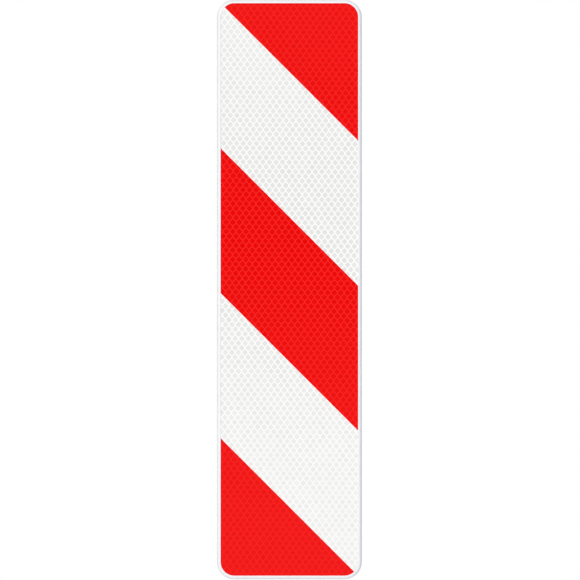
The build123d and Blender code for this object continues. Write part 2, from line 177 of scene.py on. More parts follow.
def softbox(name, towards, level, spread):
    """A distant soft lamp. It stands in the direction towards and adds level to an upright white face."""
    towards = Vector(towards).normalized()
    lamp = bpy.data.objects.new(name, bpy.data.lights.new(name, "SUN"))
    bpy.context.scene.collection.objects.link(lamp)
    lamp.data.color = linear(LAMP_TINT)[:3]
    lamp.data.energy = level * math.pi / abs(towards.y)
    lamp.data.angle = math.radians(spread)
    lamp.rotation_euler = towards.to_track_quat("Z", "Y").to_euler()


softbox("front_softbox", towards=(-0.57, -0.75, 0.34), level=0.28, spread=20)
softbox("back_softbox", towards=(0.5, 0.65, 0.57), level=0.12, spread=40)
print("two softboxes")

# %% [markdown]
# ## The floor
# The panel hangs on its post, above the ground, so the floor lies below the photograph's frame and only
# the other views see it. A plane out to the horizon could be the floor, but in front of the panel it
# would take light away from the lower end of the face. So the floor is a disc under the panel and behind
# it, where the shadow falls.

# %% Floor
GROUND_CLEARANCE = 0.3
FLOOR_RADIUS = 2.0
FLOOR_MIDDLE = (0.4, 0.8)
FLOOR_SIDES = 96

floor_mesh = bmesh.new()
bmesh.ops.create_circle(floor_mesh, cap_ends=True, segments=FLOOR_SIDES, radius=FLOOR_RADIUS)
floor_data = bpy.data.meshes.new("floor")
floor_mesh.to_mesh(floor_data)
floor_mesh.free()
floor = bpy.data.objects.new("floor", floor_data)
floor.location = (*FLOOR_MIDDLE, frame_low.z - GROUND_CLEARANCE)
bpy.context.scene.collection.objects.link(floor)
print(f"floor at {floor.location.z:.3f} m")

# %% [markdown]
# ## Floor finish
# A studio floor is matt and pale, and it runs into the background without a line. A shadow catcher could
# hold the shadow, but polished metal would not mirror it, so this is a plain matt surface whose shader
# turns clear towards the disc's rim. Where the camera or a polished surface sees it, a little glow lifts
# it to the white of the room. From below it is clear, so that it hides nothing.

# %% Floor finish
FLOOR_COLOUR = "#E8E8E8"
FLOOR_SOLID_RADIUS = 0.8
FLOOR_GLOW = 0.44

pale_floor = bpy.data.materials.new("pale matt floor")
pale_floor.use_nodes = True
tree = pale_floor.node_tree
tree.nodes.clear()
ray = add_node(tree, "ShaderNodeLightPath").outputs
place = add_node(tree, "ShaderNodeTexCoord").outputs["Object"]
reach = add_node(tree, "ShaderNodeVectorMath", {0: place}, operation="LENGTH").outputs["Value"]
fade = add_node(tree, "ShaderNodeMapRange", {
    "Value": reach, "From Min": FLOOR_RADIUS, "From Max": FLOOR_SOLID_RADIUS,
}, interpolation_type="SMOOTHSTEP").outputs["Result"]
underside = add_node(tree, "ShaderNodeNewGeometry").outputs["Backfacing"]
present = add_node(tree, "ShaderNodeMath", {
    0: fade, 1: underside,
}, operation="SUBTRACT", use_clamp=True).outputs[0]
sharp = add_node(tree, "ShaderNodeMath", {
    0: ray["Is Glossy Ray"], 1: ray["Is Transmission Ray"],
}, operation="MAXIMUM").outputs[0]
looked_at = add_node(tree, "ShaderNodeMath", {
    0: sharp, 1: ray["Is Camera Ray"],
}, operation="MAXIMUM").outputs[0]
glow = add_node(tree, "ShaderNodeMath", {0: looked_at, 1: FLOOR_GLOW}, operation="MULTIPLY").outputs[0]
matt = add_node(tree, "ShaderNodeBsdfDiffuse", {"Color": linear(FLOOR_COLOUR)}).outputs[0]
lift = add_node(tree, "ShaderNodeEmission", {"Strength": glow}).outputs[0]
surface = add_node(tree, "ShaderNodeAddShader", {0: matt, 1: lift}).outputs[0]
clear = add_node(tree, "ShaderNodeBsdfTransparent").outputs[0]
blended = add_node(tree, "ShaderNodeMixShader", {0: present, 1: clear, 2: surface}).outputs[0]
add_node(tree, "ShaderNodeOutputMaterial", {"Surface": blended})
floor_data.materials.append(pale_floor)
print("floor clear from", FLOOR_RADIUS, "m, solid within", FLOOR_SOLID_RADIUS, "m")

# %% [markdown]
# ## How a material is made
# Every finish on the beacon is made in three steps. It starts empty, with the object's own coordinates:
# those are metres, measured in the frame of the solids, and they travel with a piece when its joint
# moves. Then come its patterns. A texture's scale counts features per metre, so a feature of a known size
# in millimetres gives the scale directly. Last, the patterns reach a Principled shader: one runs between
# two colours, one between two roughnesses, and one is the relief of the surface. Pictures could hold the
# same detail, but they need files and unwrapped meshes, and noise needs neither.

# %% How a material is made
def new_material(name):
    """An empty material. Gives the material, its tree and the coordinates for its patterns."""
    material = bpy.data.materials.new(name)
    material.use_nodes = True
    tree = material.node_tree
    tree.nodes.clear()
    place = add_node(tree, "ShaderNodeTexCoord").outputs["Object"]
    return material, tree, place


def per_metre(size_mm):
    """The scale of a texture whose features are this many millimetres wide."""
    return 1 / (size_mm * MM)


def end_material(tree, sockets):
    """Ends a tree with a Principled shader, whose sockets get these values or links."""
    shader = add_node(tree, "ShaderNodeBsdfPrincipled", sockets)
    add_node(tree, "ShaderNodeOutputMaterial", {"Surface": shader.outputs[0]})


def end_patterned(tree, tones, colours, gloss, roughness, bumps, height_mm, **sockets):
    """Ends a tree whose patterns run from 0 to 1: tones between two colours, gloss between two roughnesses,
    and bumps from the surface to height_mm above it."""
    colour = add_node(tree, "ShaderNodeMix", {
        "Factor": tones, 6: linear(colours[0]), 7: linear(colours[1]),
    }, data_type="RGBA").outputs[2]
    spread = add_node(tree, "ShaderNodeMapRange", {
        "Value": gloss, "To Min": roughness[0], "To Max": roughness[1],
    }).outputs["Result"]
    relief = add_node(tree, "ShaderNodeBump", {"Height": bumps, "Distance": height_mm * MM}).outputs["Normal"]
    end_material(tree, {"Base Color": colour, "Roughness": spread, "Normal": relief, **sockets})


print("a 4 mm feature has scale", per_metre(4))

# %% [markdown]
# ## The lattice of the film
# The face is prismatic reflective sheeting. A clear film with minute prisms on its back is welded to a
# white one along thin lines, which leaves a lattice of cells with air behind them. The welded lines are
# solid white and look lighter than the cells. They cross each other at a slant and widen above and below
# every cell, so a cell is a low diamond with blunt sides. A bump map could only hint at this, so the
# cells are cut into the mesh: each one is a six-sided pad that stands a hair above its weld. The sizes
# were read off the photograph with the panel's height as the ruler, and they are in millimetres from the
# panel's middle.

# %% Lattice
PITCH_ACROSS = 11.34
PITCH_UP = 16.03
CELL_HALF_WIDTH = 4.2
CELL_HALF_HEIGHT = 5.26
CELL_HALF_SIDE = 1.11
PAD_SLOPE = 0.3
PAD_HEIGHT = 0.05
LATTICE_TURN = math.radians(-0.43)
LATTICE_START = Vector((3.64, 2.86))

film_low, film_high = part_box("white_sheeting")
half_width = (film_high.x - film_low.x) / 2 / MM
half_height = (film_high.z - film_low.z) / 2 / MM
turn = Matrix.Rotation(LATTICE_TURN, 2)
across = turn @ Vector((PITCH_ACROSS, 0))
upward = turn @ Vector((0, PITCH_UP))
pad_share = 1 - PAD_SLOPE / CELL_HALF_WIDTH

cells = []
columns = math.ceil(half_width / PITCH_ACROSS) + 2
rows = math.ceil(half_height / PITCH_UP * 2) + 2
for row in range(-rows, rows + 1):
    for column in range(-columns, columns + 1):
        centre = LATTICE_START + across * (column + row % 2 / 2) + upward * row / 2
        if abs(centre.x) < half_width + PITCH_ACROSS and abs(centre.y) < half_height + PITCH_UP:
            cells.append(centre)


def cell_outline(centre, share):
    """A diamond with its left and right tips cut upright. A share of 1 is the foot of its pad."""
    right_side = [(CELL_HALF_WIDTH, -CELL_HALF_SIDE), (CELL_HALF_WIDTH, CELL_HALF_SIDE)]
    points = [turn @ Vector(point) * share for point in right_side + [(0, CELL_HALF_HEIGHT)]]
    return [centre + point for point in points] + [centre - point for point in points]


print(f"{len(cells)} cells, {PITCH_ACROSS} mm apart across and {PITCH_UP / 2} mm from row to row")

# %% [markdown]
# ## Prisms behind the cells
# The back of each cell is a field of minute prisms, which turn light back to where it came from, so a
# lamp beside the camera finds the cells greyer than the welds. Real prisms would be millions of faces, so
# one function draws them as three sets of grooves. They are a fifth of a millimetre across, which no
# picture could show, and are drawn ten times coarser. In the photograph their grey is deepest a little
# above the panel's middle and about half as deep at its ends, where lamp and camera meet the prisms at a
# larger angle. That change with height is painted shade in the cells' colour. A gradient painted by hand
# could follow it, but a second function works it out from the height alone, for any film.

# %% Prisms behind the cells
PRISM_PITCH = 2.0
# Where the cells' painted shade is deepest, how far it reaches and how much of it is left at the ends
PAINTED_GREYEST_ABOVE_MIDDLE = 110
PAINTED_GREY_REACH = 570
PAINTED_GREY_AT_ENDS = 0.42
# A wave texture of scale 1 has this many waves in a metre
WAVES_PER_METRE = 20 / (2 * math.pi)


def prism_grooves(tree, place):
    """Three sets of ridges at 60 degrees, from 0 in the grooves to 1 on the ridges."""
    ridges = None
    for degrees in (0, 60, 120):
        turned = add_node(tree, "ShaderNodeMapping", {
            "Vector": place, "Rotation": (0, math.radians(degrees), 0),
        }).outputs["Vector"]
        wave = add_node(tree, "ShaderNodeTexWave", {
            "Vector": turned, "Scale": per_metre(PRISM_PITCH) / WAVES_PER_METRE,
        }, wave_profile="TRI").outputs["Fac"]
        if ridges is None:
            ridges = wave
        else:
            ridges = add_node(tree, "ShaderNodeMath", {0: ridges, 1: wave}, operation="MAXIMUM").outputs[0]
    return ridges


def grey_with_painted_shade(tree, place):
    """How much the prisms grey the film: 1 where they do most, less towards the ends as painted shade."""
    height = add_node(tree, "ShaderNodeSeparateXYZ", {"Vector": place}).outputs["Z"]
    above = add_node(tree, "ShaderNodeMath", {
        0: height, 1: panel_middle.z + PAINTED_GREYEST_ABOVE_MIDDLE * MM,
    }, operation="SUBTRACT").outputs[0]
    away = add_node(tree, "ShaderNodeMath", {0: above}, operation="ABSOLUTE").outputs[0]
    return add_node(tree, "ShaderNodeMapRange", {
        "Value": away, "From Max": PAINTED_GREY_REACH * MM, "To Min": 1, "To Max": PAINTED_GREY_AT_ENDS,
    }, interpolation_type="SMOOTHSTEP").outputs["Result"]


print(f"prisms {PRISM_PITCH} mm wide, greyest {PAINTED_GREYEST_ABOVE_MIDDLE} mm above the panel's middle")

# %% [markdown]
# ## Prismatic sheeting
# The film is clear acrylic, so it is smooth and a little glossy, and its low specular level stands for
# its printed, slightly hazed face. The haze is a wide, faint cloud that drifts through its shade and its
# gloss. Each cell catches the light slightly differently, so every face carries a random value of its own
# cell as an attribute, and the shader reads it. The cells also get the prisms, as relief and as a fine
# shade along their ridges. One picture of the whole face could hold all of this, but it would have to be
# huge, and these nodes stay sharp however near the camera comes.

# %% Prismatic sheeting
ACRYLIC_IOR = 1.49
FILM_SPECULAR = 0.04
FILM_ROUGHNESS = (0.17, 0.27)
HAZE_SIZE = 60
HAZE = 0.015
CELL_CONTRAST = 0.02
PRISM_DEPTH = 0.2
RIDGE_START = 0.8
RIDGE_SHADE = 0.13
WHITE_WELD = "#FAF9F4"
WHITE_CELL = "#E8E7E2"
RED_WELD = "#F51E1C"
RED_CELL = "#EE0301"


def sheeting(name, weld, cell=None):
    """Reflective film in the colour of its welds. Its cells have prisms, which grey them."""
    material, tree, place = new_material(name)
    colour = linear(weld)
    tint = add_node(tree, "ShaderNodeAttribute", attribute_name="cell_tint").outputs["Fac"]
    cloud = add_node(tree, "ShaderNodeTexNoise", {
        "Vector": place, "Scale": per_metre(HAZE_SIZE), "Detail": 4,
    }).outputs[0]
    haze = add_node(tree, "ShaderNodeMapRange", {
        "Value": cloud, "To Min": 1 - HAZE, "To Max": 1 + HAZE,
    }).outputs["Result"]
    level = add_node(tree, "ShaderNodeMath", {
        0: tint, 1: CELL_CONTRAST, 2: haze,
    }, operation="MULTIPLY_ADD").outputs[0]
    gloss = add_node(tree, "ShaderNodeMapRange", {
        "Value": cloud, "To Min": FILM_ROUGHNESS[0], "To Max": FILM_ROUGHNESS[1],
    }).outputs["Result"]
    sockets = {"Roughness": gloss, "IOR": ACRYLIC_IOR, "Specular IOR Level": FILM_SPECULAR}
    if cell:
        # The cells' colour runs towards the welds' colour at the panel's ends: the change with height is
        # painted shade
        colour = add_node(tree, "ShaderNodeMix", {
            "Factor": grey_with_painted_shade(tree, place), 6: colour, 7: linear(cell),
        }, data_type="RGBA").outputs[2]
        ridges = prism_grooves(tree, place)
        bump = add_node(tree, "ShaderNodeBump", {"Height": ridges, "Distance": PRISM_DEPTH * MM})
        sockets["Normal"] = bump.outputs["Normal"]
        shade = add_node(tree, "ShaderNodeMapRange", {
            "Value": ridges, "From Min": RIDGE_START, "To Max": RIDGE_SHADE,
        }).outputs["Result"]
        level = add_node(tree, "ShaderNodeMath", {0: level, 1: shade}, operation="SUBTRACT").outputs[0]
    tinted = add_node(tree, "ShaderNodeHueSaturation", {"Color": colour, "Value": level})
    sockets["Base Color"] = tinted.outputs["Color"]
    end_material(tree, sockets)
    return material


white_film = [
    sheeting("white sheeting welds", WHITE_WELD),
    sheeting("white prismatic cells", WHITE_WELD, WHITE_CELL),
]
red_film = [
    sheeting("red sheeting welds", RED_WELD),
    sheeting("red prismatic cells", RED_WELD, RED_CELL),
]
print("film finishes:", [material.name for material in white_film + red_film])

# %% [markdown]
# ## From a mesh to a piece
# A detailed piece takes the place of a plain solid, which then only serves the motion and is hidden. So
# it has to ride on the same body and get its finishes. One function does all of it, and it also decides
# where the surface is shaded smooth: faces that meet at a small angle flow into each other, and sharper
# edges stay sharp.


def finished_piece(mesh, name, node, body, finishes, smooth_angle=None):
    """Turns a bmesh into a piece that takes a CAD node's place, rides on its body and hides the node."""
    bmesh.ops.recalc_face_normals(mesh, faces=mesh.faces)
    data = bpy.data.meshes.new(name)
    mesh.to_mesh(data)
    mesh.free()
    for finish in finishes:
        data.materials.append(finish)
    if smooth_angle is not None:
        data.shade_smooth()
        data.set_sharp_from_angle(angle=math.radians(smooth_angle))
    piece = bpy.data.objects.new(name, data)
    bpy.context.scene.collection.objects.link(piece)
    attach(piece, body)
    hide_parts(node)
    return piece


# %% [markdown]
# ## Dividing the film
# Each film is a flat outline with thousands of cells in it. Boolean cuts would take minutes for so many.
# A constrained triangulation takes the outline, the stripe and the cells together, and tells for every
# triangle which of them hold it. So the triangles outside the film can be dropped, and those in a pad are
# known.

# %% Dividing the film
PANEL_CORNER = 30.0
CORNER_STEPS = 24
SAME_POINT = 1e-4


def rounded_outline(half_x, half_z, radius):
    """The film's outline, counter-clockwise, in millimetres from the panel's middle."""
    points = []
    for quarter, (side_x, side_z) in enumerate([(1, 1), (-1, 1), (-1, -1), (1, -1)]):
        for step in range(CORNER_STEPS + 1):
            angle = math.pi / 2 * (quarter + step / CORNER_STEPS)
            x = side_x * (half_x - radius) + radius * math.cos(angle)
            points.append(Vector((x, side_z * (half_z - radius) + radius * math.sin(angle))))
    return points


def triangulated(limits, held):
    """The film's points, its triangles with the last outline that holds each, and the points of the pads."""
    outlines = limits + [cell_outline(cell, share) for share in (1, pad_share) for cell in held]
    points, loops = [], []
    for outline in outlines:
        loops.append(range(len(points), len(points) + len(outline)))
        points += outline
    flat, _, triangles, _, _, holders = geometry.delaunay_2d_cdt(points, [], loops, 1, SAME_POINT, True)
    kept = [
        (triangle, max(inside)) for triangle, inside in zip(triangles, holders)
        if sum(index < len(limits) for index in inside) == len(limits)
    ]
    first_pad = len(limits) + len(held)
    raised = {corner for triangle, holder in kept if holder >= first_pad for corner in triangle}
    return flat, kept, raised


film_corner = PANEL_CORNER - (frame_high.x - film_high.x) / MM
film_outline = rounded_outline(half_width, half_height, film_corner)
print(f"the film has corners of {film_corner:.1f} mm and {len(film_outline)} points round its outline")

# %% [markdown]
# ## Raising the cells
# The pads are pressed up by a hair when the film is welded. A Displace modifier could raise them, but it
# would need a map of the lattice, and here each point's place is known when it is made: points of a pad
# are raised, and the triangles between a pad and its foot become the slope. The open rim is then drawn
# back to the film's back face and closed, so the film is a solid with its real thickness.

# %% Raising the cells
TINT_SEED = 7
rng = random.Random(TINT_SEED)


def cut_film(name, node, limits, finishes):
    """One film as a closed solid with raised cells. The limits are outlines that all hold it."""
    low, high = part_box(node)
    low_z, high_z = [(z - panel_middle.z) / MM for z in (low.z, high.z)]
    held = [cell for cell in cells if low_z - PITCH_UP < cell.y < high_z + PITCH_UP]
    flat, kept, raised = triangulated(limits, held)
    mesh = bmesh.new()
    cell_tint = mesh.faces.layers.float.new("cell_tint")
    tints = [rng.uniform(-1, 1) for _ in held]
    corners = {}
    for triangle, holder in kept:
        for corner in triangle:
            if corner not in corners:
                depth = low.y + (0 if corner in raised else PAD_HEIGHT * MM)
                x, z = flat[corner]
                corners[corner] = mesh.verts.new((panel_middle.x + x * MM, depth, panel_middle.z + z * MM))
        face = mesh.faces.new([corners[corner] for corner in triangle])
        if holder >= len(limits):
            face.material_index = 1
            face[cell_tint] = tints[(holder - len(limits)) % len(held)]
    close_to_back(mesh, high.y)
    return finished_piece(mesh, name, node, "panel", finishes)


def close_to_back(mesh, back):
    """Draws the open rim of a sheet back to Y = back and closes it there."""
    rim = [edge for edge in mesh.edges if edge.is_boundary]
    for drawn in bmesh.ops.extrude_edge_only(mesh, edges=rim)["geom"]:
        if isinstance(drawn, bmesh.types.BMVert):
            drawn.co.y = back
    back_rim = [edge for edge in mesh.edges if edge.is_boundary]
    bmesh.ops.contextual_create(mesh, geom=back_rim)


white = cut_film("prismatic_white_film", "white_sheeting", [film_outline], white_film)
print("white film:", len(white.data.polygons), "faces")

# %% [markdown]
# ## The red stripes
# The stripes are a clear red film laid over the white one, so the lattice runs on through them without a
# break. They could be painted on the white film by a material, but they are separate sheets on the real
# panel, with an edge that shows from the side. They fall to the right at 45 degrees. A line at that slope
# is where x + z keeps one value, and the corners of the CAD stripes give those values, so the stripes
# stay where the solids are.

# %% The red stripes
FAR = 2000.0


def stripe_limit(lowest, highest):
    """A long band at 45 degrees between two values of x + z, in millimetres from the panel's middle."""
    ends = [(-1, lowest), (1, lowest), (1, highest), (-1, highest)]
    return [Vector((side * FAR, total - side * FAR)) for side, total in ends]


for part in ("top", "middle", "bottom"):
    node = "red_stripe_" + part
    low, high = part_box(node)
    lowest = (low.z - panel_middle.z + high.x) / MM if part != "bottom" else -FAR
    highest = (high.z - panel_middle.z + low.x) / MM if part != "top" else FAR
    red = cut_film("red_film_" + part, node, [film_outline, stripe_limit(lowest, highest)], red_film)
    print(red.name, len(red.data.polygons), "faces, x + z from", round(lowest, 1), "to", round(highest, 1))

# %% [markdown]
# ## Powder coat on the edge frame
# The frame is an aluminium profile bent round the panel and coated white. Powder coat is sprayed on dry
# and melts in an oven, which leaves a satin skin with a faint orange peel. The solid already has the
# right shape, so it only gets a finish: soft noise for the peel, and a slow drift in the gloss that keeps
# the long sides from looking computed. The peel's waves are about 2 mm across. They are drawn at 4 mm,
# and deeper than they are, so that a picture can hold them.

# %% Powder coat
POWDER_WHITES = ("#F4F4F4", "#F8F8F8")
POWDER_ROUGHNESS = (0.33, 0.47)
POWDER_IOR = 1.5
PEEL_SIZE = 4
PEEL_HEIGHT = 0.25
DRIFT_SIZE = 70


def coat(material, *names):
    """Gives CAD nodes a finish in place of the plain one that they arrive with."""
    for name in names:
        nodes[name].data.materials.clear()
        nodes[name].data.materials.append(material)


powder_coat, tree, place = new_material("white polyester powder coat")
peel = add_node(tree, "ShaderNodeTexNoise", {
    "Vector": place, "Scale": per_metre(PEEL_SIZE), "Detail": 1,
}).outputs[0]
drift = add_node(tree, "ShaderNodeTexNoise", {
    "Vector": place, "Scale": per_metre(DRIFT_SIZE), "Detail": 3,
}).outputs[0]
end_patterned(tree, drift, POWDER_WHITES, drift, POWDER_ROUGHNESS, peel, PEEL_HEIGHT, IOR=POWDER_IOR)
coat(powder_coat, "edge_frame")
print("coated", nodes["edge_frame"].name, len(nodes["edge_frame"].data.polygons), "faces")

# %% [markdown]
# ## Aluminium with lines
# The back of the beacon is bare aluminium, and how each piece was made shows on it. Rolled sheet has fine
# lines along the rolling direction and cloudy handling marks. An extrusion has long die lines along its
# length. Both are the same metal with another roughness and another direction, so one function makes
# them: noise that is drawn out along one axis gives the lines, and even noise gives the marks. The lines
# are a tenth of a millimetre apart on the real pieces and are drawn more than ten times coarser.

# %% Aluminium with lines
LINE_LENGTH = 400
HANDLING_MARK = 45
ROUGHNESS_SPREAD = 0.08
# Most of the sum of two noises lies between these values
TWO_NOISES = (0.6, 1.4)


def lined_metal(name, colours, roughness, line_sizes, line_height):
    """Metal with drawn-out lines. The sizes are those of one line along X, Y and Z, in millimetres."""
    material, tree, place = new_material(name)
    drawn_out = add_node(tree, "ShaderNodeMapping", {
        "Vector": place, "Scale": [per_metre(size) for size in line_sizes],
    }).outputs["Vector"]
    lines = add_node(tree, "ShaderNodeTexNoise", {"Vector": drawn_out, "Scale": 1.0, "Detail": 3}).outputs[0]
    marks = add_node(tree, "ShaderNodeTexNoise", {
        "Vector": place, "Scale": per_metre(HANDLING_MARK), "Detail": 5,
    }).outputs[0]
    both = add_node(tree, "ShaderNodeMath", {0: lines, 1: marks}, operation="ADD").outputs[0]
    pattern = add_node(tree, "ShaderNodeMapRange", {
        "Value": both, "From Min": TWO_NOISES[0], "From Max": TWO_NOISES[1],
    }).outputs["Result"]
    gloss = (roughness - ROUGHNESS_SPREAD, roughness + ROUGHNESS_SPREAD)
    end_patterned(tree, pattern, colours, pattern, gloss, lines, line_height, Metallic=1.0)
    return material


print("lines of", LINE_LENGTH, "mm with handling marks of", HANDLING_MARK, "mm")

# %% [markdown]
# ## Plates, rails and saddles
# The panel's plate is cut from rolled sheet, with the rolling direction upright. The rails are extruded
# along their length, which lies across the panel, and the saddles are sawn from a profile that is
# extruded along the post. One aluminium for all of them would be simpler, but lines that run the wrong
# way look false at once, so each gets the lines of its own making.

# %% Plates, rails and saddles
SHEET_GREYS = ("#BEBEBD", "#D6D6D4")
SHEET_ROUGHNESS = 0.42
ROLLING_LINE = 1.2
ROLLING_HEIGHT = 0.01
EXTRUSION_GREYS = ("#B3B3B2", "#CECECC")
EXTRUSION_ROUGHNESS = 0.36
DIE_LINE = 1.5
DIE_HEIGHT = 0.02

rolled_sheet = lined_metal(
    "mill finish aluminium sheet", SHEET_GREYS, SHEET_ROUGHNESS,
    (ROLLING_LINE, ROLLING_LINE, LINE_LENGTH), ROLLING_HEIGHT,
)
extruded_across = lined_metal(
    "extruded aluminium rail", EXTRUSION_GREYS, EXTRUSION_ROUGHNESS,
    (LINE_LENGTH, DIE_LINE, DIE_LINE), DIE_HEIGHT,
)
extruded_upward = lined_metal(
    "extruded aluminium saddle", EXTRUSION_GREYS, EXTRUSION_ROUGHNESS,
    (DIE_LINE, DIE_LINE, LINE_LENGTH), DIE_HEIGHT,
)
coat(rolled_sheet, "panel_plate", "frame_joint_plate")
coat(extruded_across, "lower_rail", "upper_rail")
coat(extruded_upward, "lower_saddle", "upper_saddle")
print("lined aluminium on the plate, the joint plate, two rails and two saddles")

# %% [markdown]
# ## Cast aluminium
# The claws are die cast: metal is pressed into a steel mould, which leaves a dull, finely grained skin
# with paler clouds where the metal flowed. Brushed lines would be wrong here, so the grain is even noise,
# and a second, wider noise gives the clouds. The real grain is a few tenths of a millimetre wide and is
# drawn at 1.5 mm, so that a picture can hold it.

# %% Cast aluminium
CAST_GREYS = ("#86888A", "#A3A5A7")
CAST_ROUGHNESS = (0.45, 0.65)
CAST_GRAIN = 1.5
CAST_FLOW = 12
CAST_HEIGHT = 0.06

cast_aluminium, tree, place = new_material("die cast aluminium")
grain = add_node(tree, "ShaderNodeTexNoise", {
    "Vector": place, "Scale": per_metre(CAST_GRAIN), "Detail": 4,
}).outputs[0]
flow = add_node(tree, "ShaderNodeTexNoise", {
    "Vector": place, "Scale": per_metre(CAST_FLOW), "Detail": 2,
}).outputs[0]
end_patterned(tree, flow, CAST_GREYS, grain, CAST_ROUGHNESS, grain, CAST_HEIGHT, Metallic=1.0)
claws = [f"{level}_claw_{side}" for level in ("lower", "upper") for side in ("left", "right")]
coat(cast_aluminium, *claws)
print("cast finish on", claws)

# %% [markdown]
# ## Galvanised steel
# The straps are bent from steel strip and dipped in molten zinc. The zinc freezes into flat crystals, the
# spangle, each of which mirrors the room at its own angle. Noise has no such flat patches with clear
# edges, but a Voronoi texture gives every crystal one random value, and that value sets its shade and its
# roughness. A little noise bends the coordinates first, because zinc crystals have ragged edges. The
# frost on the crystals is finer than a picture could show and is drawn 2 mm wide.

# %% Galvanised steel
ZINC_GREYS = ("#949A9F", "#AFB4B8")
ZINC_ROUGHNESS = (0.3, 0.55)
SPANGLE = 7.0
RAGGED_SIZE = 6
RAGGED_SHARE = 0.003
FROST_SIZE = 2
FROST_HEIGHT = 0.02

galvanised, tree, place = new_material("hot dip galvanised steel")
warp = add_node(tree, "ShaderNodeTexNoise", {
    "Vector": place, "Scale": per_metre(RAGGED_SIZE), "Detail": 2,
}).outputs["Color"]
bent = add_node(tree, "ShaderNodeMix", {
    "Factor": RAGGED_SHARE, 4: place, 5: warp,
}, data_type="VECTOR").outputs[1]
crystal = add_node(tree, "ShaderNodeTexVoronoi", {
    "Vector": bent, "Scale": per_metre(SPANGLE),
}).outputs["Color"]
facing = add_node(tree, "ShaderNodeSeparateColor", {"Color": crystal}).outputs[0]
frost = add_node(tree, "ShaderNodeTexNoise", {
    "Vector": place, "Scale": per_metre(FROST_SIZE), "Detail": 3,
}).outputs[0]
end_patterned(tree, facing, ZINC_GREYS, facing, ZINC_ROUGHNESS, frost, FROST_HEIGHT, Metallic=1.0)
coat(galvanised, "lower_strap", "upper_strap")
print("spangle of", SPANGLE, "mm")

# %% [markdown]
# ## Moulded plastic
# The rail's end caps are black polypropylene. The mould was sparked to a fine grain, which hides flow
# marks, so the plastic is matt and evenly speckled. Colour, gloss and relief could each have a noise of
# their own, but on such a skin they go together, so one noise does it all: where the grain stands up it
# is also a little paler and duller. The grain is about a third of a millimetre wide and is drawn almost
# four times coarser, so that a picture can hold it.

# %% Moulded plastic
PLASTIC_BLACKS = ("#151516", "#222223")
PLASTIC_ROUGHNESS = (0.42, 0.6)
PLASTIC_IOR = 1.49
SPARK_SIZE = 1.2
SPARK_HEIGHT = 0.05

black_plastic, tree, place = new_material("moulded black polypropylene")
spark = add_node(tree, "ShaderNodeTexNoise", {
    "Vector": place, "Scale": per_metre(SPARK_SIZE), "Detail": 2,
}).outputs[0]
end_patterned(tree, spark, PLASTIC_BLACKS, spark, PLASTIC_ROUGHNESS, spark, SPARK_HEIGHT, IOR=PLASTIC_IOR)
coat(black_plastic, "lower_rail_end_caps", "upper_rail_end_caps")
print("caps coated")

# %% [markdown]
# ## Tumbled fasteners
# Bolts, screws, nuts and washers are A2 stainless steel, cold-formed and tumbled, so they are bright with
# fine scratches in all directions. The rivets are softer aluminium with a duller shine. Straight scratch
# lines would give the marks one direction, and distorted noise gives them none. The marks are a few
# tenths of a millimetre long and are drawn at 1.5 mm, so that a picture can hold them.

# %% Tumbled fasteners
STAINLESS_GREYS = ("#A8A6A2", "#C6C4C0")
STAINLESS_ROUGHNESS = 0.28
RIVET_GREYS = ("#ABADAF", "#C4C6C8")
RIVET_ROUGHNESS = 0.38
TUMBLE_MARK = 1.5
TUMBLE_HEIGHT = 0.01
MARK_SHARPER = 0.07
MARK_DULLER = 0.09


def tumbled_metal(name, colours, roughness):
    """Metal that was tumbled clean: bright, with fine marks in all directions."""
    material, tree, place = new_material(name)
    marks = add_node(tree, "ShaderNodeTexNoise", {
        "Vector": place, "Scale": per_metre(TUMBLE_MARK), "Detail": 5, "Distortion": 1.5,
    }).outputs[0]
    gloss = (roughness - MARK_SHARPER, roughness + MARK_DULLER)
    end_patterned(tree, marks, colours, marks, gloss, marks, TUMBLE_HEIGHT, Metallic=1.0)
    return material


stainless = tumbled_metal("tumbled stainless steel", STAINLESS_GREYS, STAINLESS_ROUGHNESS)
rivet_aluminium = tumbled_metal("blind rivet aluminium", RIVET_GREYS, RIVET_ROUGHNESS)
for level in ("lower", "upper"):
    coat(stainless, f"{level}_claw_washers", f"{level}_strap_washers")
print("washers coated")

# %% [markdown]
# ## Rings and skins
# Fasteners are turned or pressed round an axis. Blender's primitives and the Screw modifier could start
# them, but each would need its own repairs. Here each one is a pile of rings, points round the Z axis at
# one height, with a skin of quads from ring to ring. The radius may change with the angle, and that makes
# a hexagon or a knurl out of the same few lines that make a plain shank.

# %% Rings and skins
RING_STEPS = 96
TO_THE_BACK = Matrix.Rotation(-math.pi / 2, 4, "X")


def ring(radius, height):
    """Points round the Z axis. The radius is a number, or a function of the angle."""
    points = []
    for step in range(RING_STEPS):
        angle = 2 * math.pi * step / RING_STEPS
        reach = radius(angle) if callable(radius) else radius
        points.append(Vector((reach * math.cos(angle), reach * math.sin(angle), height)))
    return points


def hexagon(across_flats):
    """The radius of a hexagon with this width across its flats, as a function of the angle."""
    def radius(angle):
        off_flat = (angle + math.pi / 6) % (math.pi / 3) - math.pi / 6
        return across_flats / 2 / math.cos(off_flat)
    return radius


def skin(mesh, rings, closed_round=False):
    """Joins each ring to the next. The ends get flat caps, or the last ring is joined to the first."""
    rows = [[mesh.verts.new(point) for point in points] for points in rings]
    pairs = list(zip(rows, rows[1:]))
    if closed_round:
        pairs.append((rows[-1], rows[0]))
    for lower, upper in pairs:
        for step in range(RING_STEPS):
            after = (step + 1) % RING_STEPS
            mesh.faces.new((lower[step], lower[after], upper[after], upper[step]))
    if not closed_round:
        mesh.faces.new(rows[0][::-1])
        mesh.faces.new(rows[-1])


def set_along_y(mesh, first_vertex, x, y, z):
    """Turns what was added from first_vertex on so that its axis points back, with its origin at x, y, z."""
    mesh.verts.ensure_lookup_table()
    place = Matrix.Translation((x, y, z)) @ TO_THE_BACK @ Matrix.Scale(MM, 4)
    for vertex in mesh.verts[first_vertex:]:
        vertex.co = place @ vertex.co


print("a 13 mm hexagon is", round(2 * hexagon(13)(math.pi / 6), 2), "mm across its corners")

